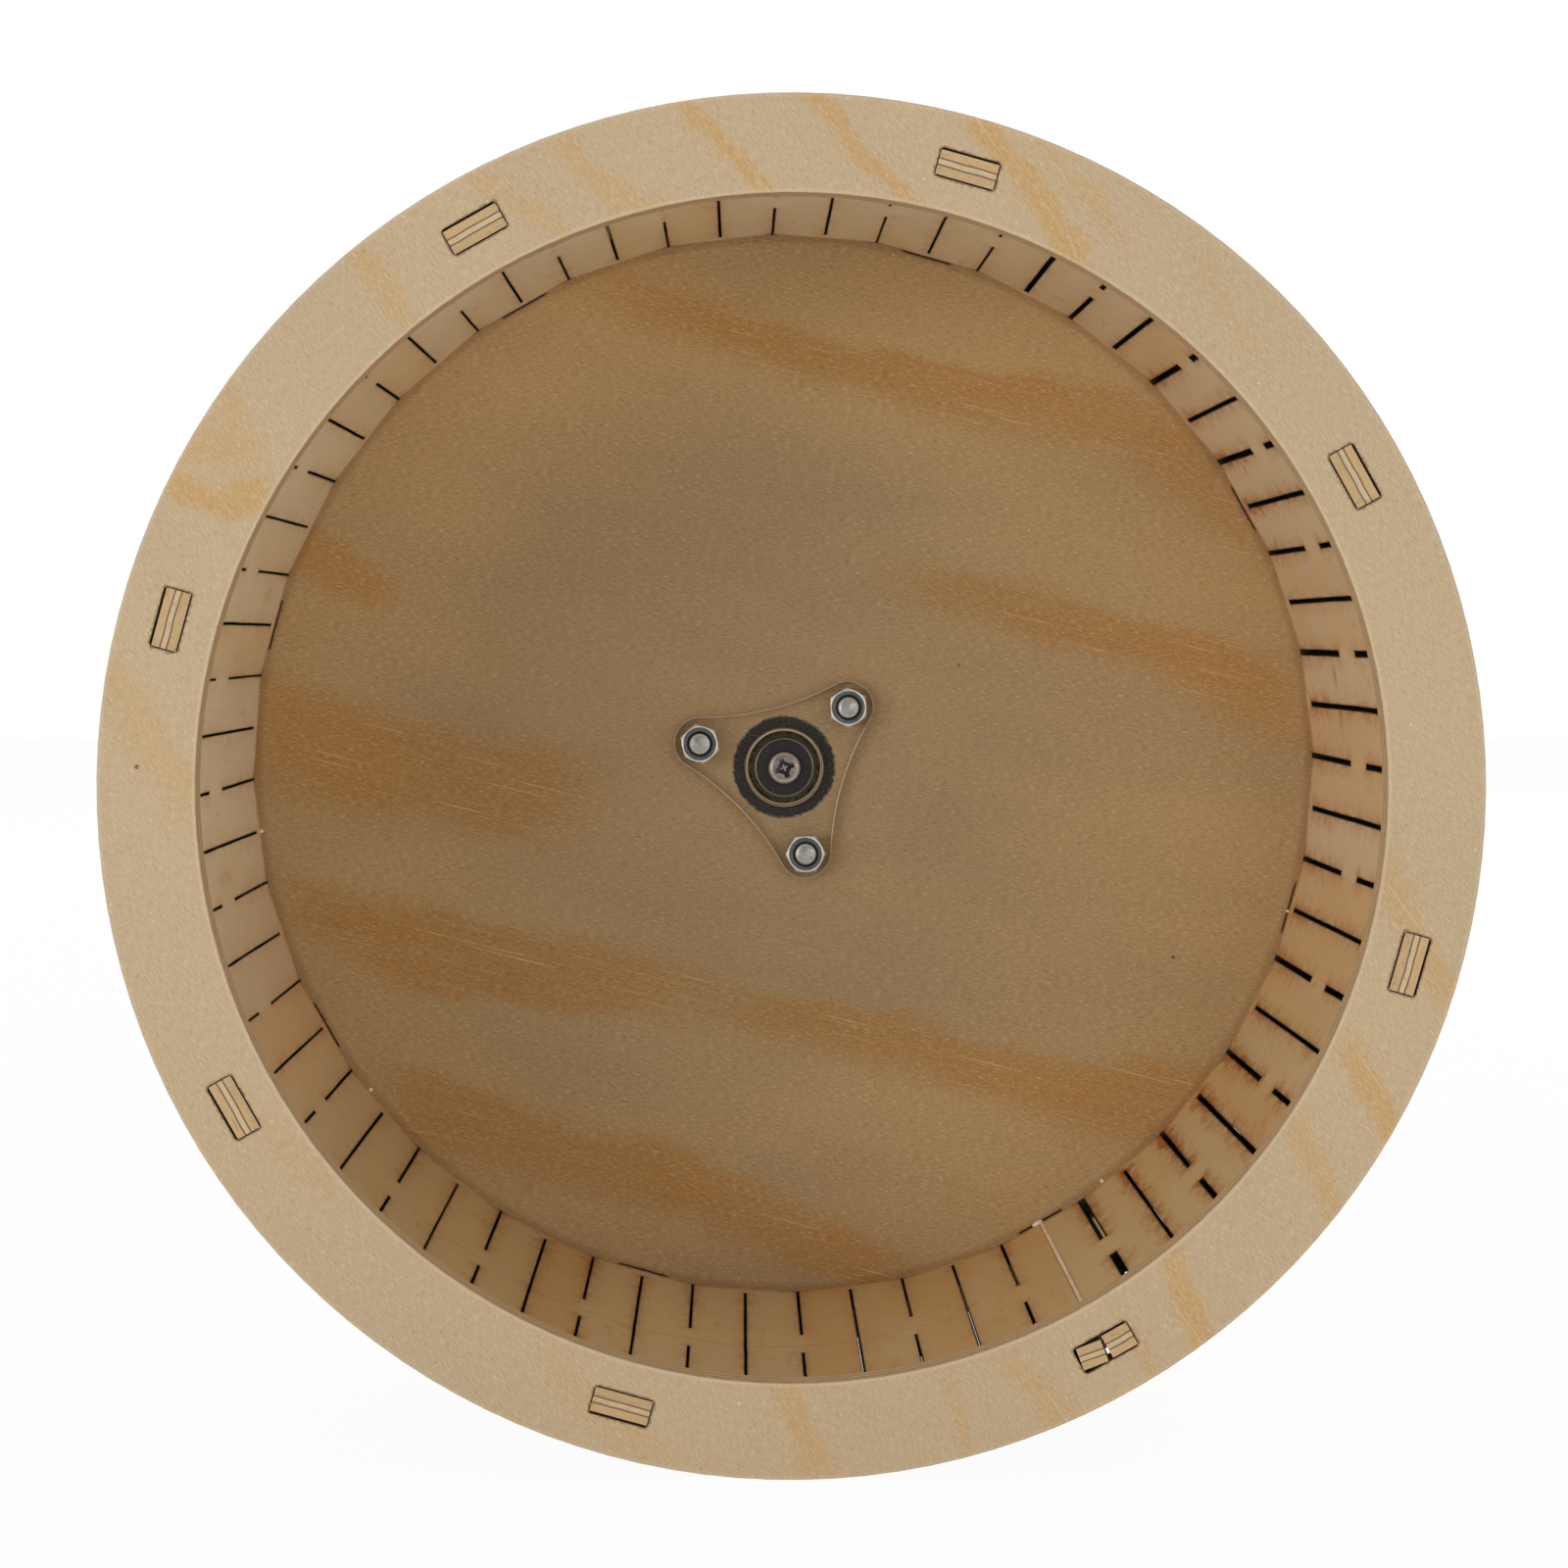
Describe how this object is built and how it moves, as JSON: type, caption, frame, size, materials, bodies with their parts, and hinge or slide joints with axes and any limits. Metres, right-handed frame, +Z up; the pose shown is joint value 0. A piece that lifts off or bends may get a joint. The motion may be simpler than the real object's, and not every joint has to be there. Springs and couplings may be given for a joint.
{
  "type": "hamster running wheel",
  "caption": "Plywood running wheel for a hamster: a slotted, bent drum with an open mouth that spins on a small ball bearing held by its axle screw.",
  "frame": {"origin": "on the axle's axis, in the plane of the wall or post that the axle screw is driven into", "axes": "+Y along the axle into the wall, the drum's mouth faces -Y, +Z up, +X to the right seen from the mouth"},
  "size_m": [0.233, 0.117, 0.233],
  "materials": {
    "ring_plywood": "sanded, unvarnished",
    "disc_plywood": "sanded, unvarnished",
    "strip_plywood": "sanded, unvarnished, cuts scorched brown",
    "clear_plate": "clear, polished, cut edges bright",
    "zinc_steel": "zinc plated",
    "bearing_steel": "ground and polished",
    "shield_steel": "pressed, satin",
    "cage_nylon": "moulded",
    "black_washer": "matte black",
    "spacer_steel": "turned"
  },
  "bodies": {
    "axle": {"axle_screw": "zinc_steel", "axle_washer": "zinc_steel", "axle_cover_washer": "black_washer", "axle_sleeve": "spacer_steel", "wall_spacer": "spacer_steel", "bearing_inner_race": "bearing_steel"},
    "wheel": {"front_ring": "ring_plywood", "back_disc": "disc_plywood", "running_strip": "strip_plywood", "front_hub_plate": "clear_plate", "rear_hub_plate": "clear_plate", "hub_bolt_1": "zinc_steel", "hub_nut_1": "zinc_steel", "hub_washer_1": "zinc_steel", "hub_bolt_2": "zinc_steel", "hub_nut_2": "zinc_steel", "hub_washer_2": "zinc_steel", "hub_bolt_3": "zinc_steel", "hub_nut_3": "zinc_steel", "hub_washer_3": "zinc_steel", "bearing_outer_race": "bearing_steel", "bearing_rear_shield": "shield_steel", "bearing_front_shield": "shield_steel"},
    "ball_set": {"bearing_balls": "bearing_steel", "bearing_cage": "cage_nylon"}
  },
  "joints": [
    {"name": "wheel_spin", "type": "hinge", "parent": "axle", "child": "wheel", "pos_m": [0, 0, 0], "axis": [0, 1, 0], "continuous": true},
    {"name": "ball_set_spin", "type": "hinge", "parent": "axle", "child": "ball_set", "pos_m": [0, 0, 0], "axis": [0, 1, 0], "continuous": true}
  ],
  "couplings": [
    {"joint": "ball_set_spin", "follows": "wheel_spin", "ratio": 0.65119}
  ]
}
